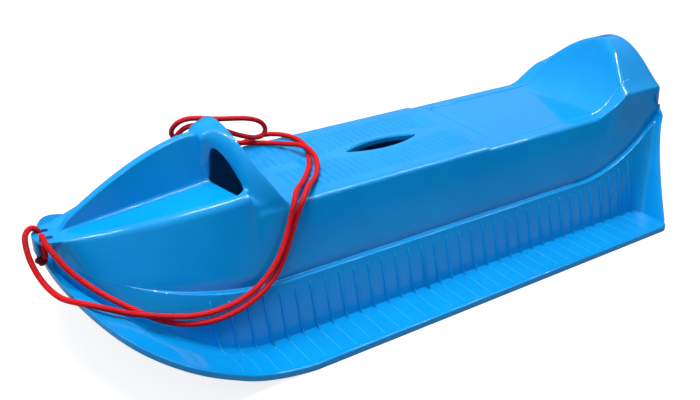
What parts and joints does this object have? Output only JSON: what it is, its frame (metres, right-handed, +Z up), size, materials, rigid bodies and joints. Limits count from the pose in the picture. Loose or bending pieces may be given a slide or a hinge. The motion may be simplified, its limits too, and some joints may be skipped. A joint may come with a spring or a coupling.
{
  "type": "plastic sled",
  "caption": "Moulded plastic straddle sled with a raised bench seat, wide foot boards, an upturned bow, a backrest, a grab hoop and a braided pull cord through its nose.",
  "frame": {"origin": "on the floor, under the middle of the sled's length and width, its cord left out", "axes": "+X towards the bow, +Y to port (the sled's own left), +Z up"},
  "size_m": [1.1237, 0.5, 0.294],
  "materials": {
    "shell": "glossy",
    "cord": "braided"
  },
  "bodies": {
    "root": {"backrest": "shell", "bow_shovel": "shell", "centre_fin": "shell", "cord_knot": "cord", "front_seat_deck": "shell", "grab_hoop": "shell", "left_cowl": "shell", "left_running_board": "shell", "left_side_ribs": "shell", "left_side_wall": "shell", "left_skirt": "shell", "rear_seat_deck": "shell", "right_cowl": "shell", "right_running_board": "shell", "right_side_ribs": "shell", "right_side_wall": "shell", "right_skirt": "shell", "stern_panel": "shell", "tow_cord": "cord", "tow_nose": "shell"}
  },
  "joints": []
}
